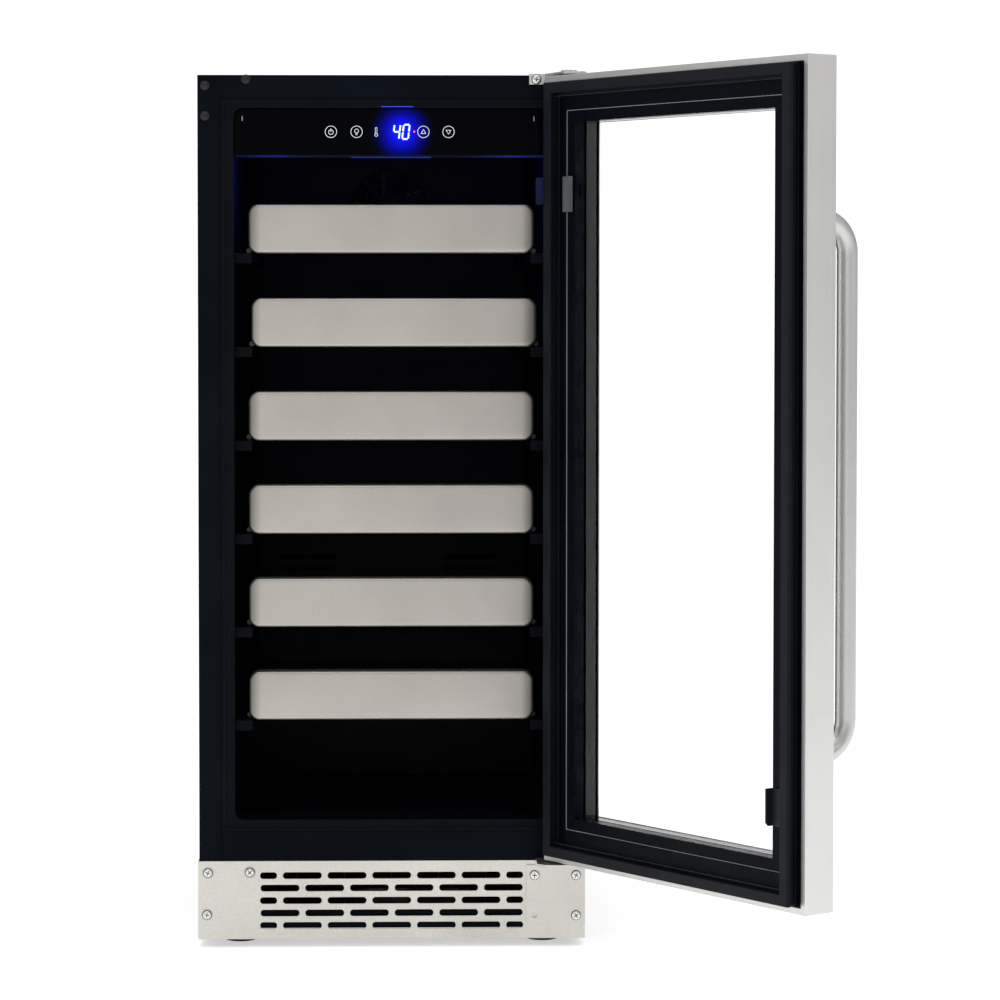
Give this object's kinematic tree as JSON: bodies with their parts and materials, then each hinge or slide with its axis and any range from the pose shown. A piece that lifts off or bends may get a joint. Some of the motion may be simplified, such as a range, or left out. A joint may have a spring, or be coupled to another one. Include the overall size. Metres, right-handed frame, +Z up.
{
  "type": "wine cooler",
  "caption": "Under-counter wine cooler with a hinged glass door, sliding bottle racks with metal fronts, a touch control panel, a vented kick plate and a compressor unit",
  "frame": {"origin": "on the floor, at the middle of the four feet", "axes": "+Z up; the door side faces -Y; +X is on the right of someone who faces the door"},
  "size_m": [0.6077, 0.8669, 0.856],
  "materials": {
    "black_paint": "satin",
    "zinc_steel": "satin",
    "brushed_stainless": "brushed",
    "bright_steel": "polished",
    "black_plastic": "matte",
    "gloss_black": "glossy",
    "white_nylon": "matte",
    "lamp_lens": "frosted",
    "circuit_board": "matte",
    "foam": "matte",
    "tinted_glass": "clear",
    "clear_glass": "clear",
    "seal_rubber": "matte",
    "black_rubber": "matte",
    "coil_aluminium": "satin",
    "copper_tube": "satin",
    "compressor_black": "satin",
    "grey_plastic": "matte"
  },
  "bodies": {
    "cabinet": {"outer_casing": "black_paint", "back_panel": "zinc_steel", "machine_cover": "black_paint", "bottom_crossbar": "black_paint", "inner_liner": "black_plastic", "insulation_foam": "foam", "base_pan": "black_paint", "kick_plate": "brushed_stainless", "kick_plate_screws": "bright_steel", "rear_feet": "black_rubber", "top_hinge_bracket": "bright_steel", "bottom_hinge_bracket": "brushed_stainless", "hinge_screws": "bright_steel", "hole_plugs": "black_plastic", "control_housing": "black_plastic", "control_fascia": "gloss_black", "control_board": "circuit_board", "display_module": "black_plastic", "interior_lamp": "lamp_lens", "temperature_sensor": "black_plastic", "evaporator_cover": "black_plastic", "evaporator": "coil_aluminium", "evaporator_fan_motor": "black_plastic", "condenser": "compressor_black", "condenser_fan_motor": "black_plastic", "compressor": "compressor_black", "compressor_grommets": "black_rubber", "relay_box": "black_plastic", "filter_drier": "copper_tube", "refrigerant_pipes": "copper_tube", "drip_tray": "black_plastic", "drain_tube": "grey_plastic", "cord_gland": "black_plastic"},
    "door": {"door_frame": "brushed_stainless", "door_inner_frame": "black_plastic", "outer_glass": "tinted_glass", "inner_glass": "clear_glass", "glass_spacer": "black_plastic", "door_gasket": "seal_rubber", "door_handle": "brushed_stainless", "handle_screws": "bright_steel", "hinge_bushes": "white_nylon", "upper_catch": "grey_plastic", "lower_catch": "black_plastic"},
    "evaporator_fan": {"evaporator_fan_rotor": "black_plastic"},
    "condenser_fan": {"condenser_fan_rotor": "grey_plastic"},
    "left_foot": {"front_left_foot": "black_rubber"},
    "right_foot": {"front_right_foot": "black_rubber"},
    "shelf_1": {"shelf_1_front": "brushed_stainless", "shelf_1_rack": "black_paint"},
    "shelf_2": {"shelf_2_front": "brushed_stainless", "shelf_2_rack": "black_paint"},
    "shelf_3": {"shelf_3_front": "brushed_stainless", "shelf_3_rack": "black_paint"},
    "shelf_4": {"shelf_4_front": "brushed_stainless", "shelf_4_rack": "black_paint"},
    "shelf_5": {"shelf_5_front": "brushed_stainless", "shelf_5_rack": "black_paint"},
    "shelf_6": {"shelf_6_front": "brushed_stainless", "shelf_6_rack": "black_paint"}
  },
  "joints": [
    {"name": "door_hinge", "type": "hinge", "parent": "cabinet", "child": "door", "pos_m": [0.1715, -0.2935, 0.4696], "axis": [0, 0, 1], "range_deg": [-125, 5]},
    {"name": "shelf_1_slide", "type": "slide", "parent": "cabinet", "child": "shelf_1", "axis": [0, -1, 0], "range_m": [0, 0.22]},
    {"name": "shelf_2_slide", "type": "slide", "parent": "cabinet", "child": "shelf_2", "axis": [0, -1, 0], "range_m": [0, 0.22]},
    {"name": "shelf_3_slide", "type": "slide", "parent": "cabinet", "child": "shelf_3", "axis": [0, -1, 0], "range_m": [0, 0.22]},
    {"name": "shelf_4_slide", "type": "slide", "parent": "cabinet", "child": "shelf_4", "axis": [0, -1, 0], "range_m": [0, 0.22]},
    {"name": "shelf_5_slide", "type": "slide", "parent": "cabinet", "child": "shelf_5", "axis": [0, -1, 0], "range_m": [0, 0.22]},
    {"name": "shelf_6_slide", "type": "slide", "parent": "cabinet", "child": "shelf_6", "axis": [0, -1, 0], "range_m": [0, 0.22]},
    {"name": "evaporator_fan_spin", "type": "hinge", "parent": "cabinet", "child": "evaporator_fan", "pos_m": [0, 0.1865, 0.737], "axis": [0, 1, 0], "continuous": true},
    {"name": "condenser_fan_spin", "type": "hinge", "parent": "cabinet", "child": "condenser_fan", "pos_m": [0.07, 0.1, 0.0755], "axis": [0, 1, 0], "continuous": true},
    {"name": "left_foot_turn", "type": "hinge", "parent": "cabinet", "child": "left_foot", "pos_m": [-0.1495, -0.22, 0.02], "axis": [0, 0, 1], "continuous": true},
    {"name": "right_foot_turn", "type": "hinge", "parent": "cabinet", "child": "right_foot", "pos_m": [0.1495, -0.22, 0.02], "axis": [0, 0, 1], "continuous": true}
  ]
}
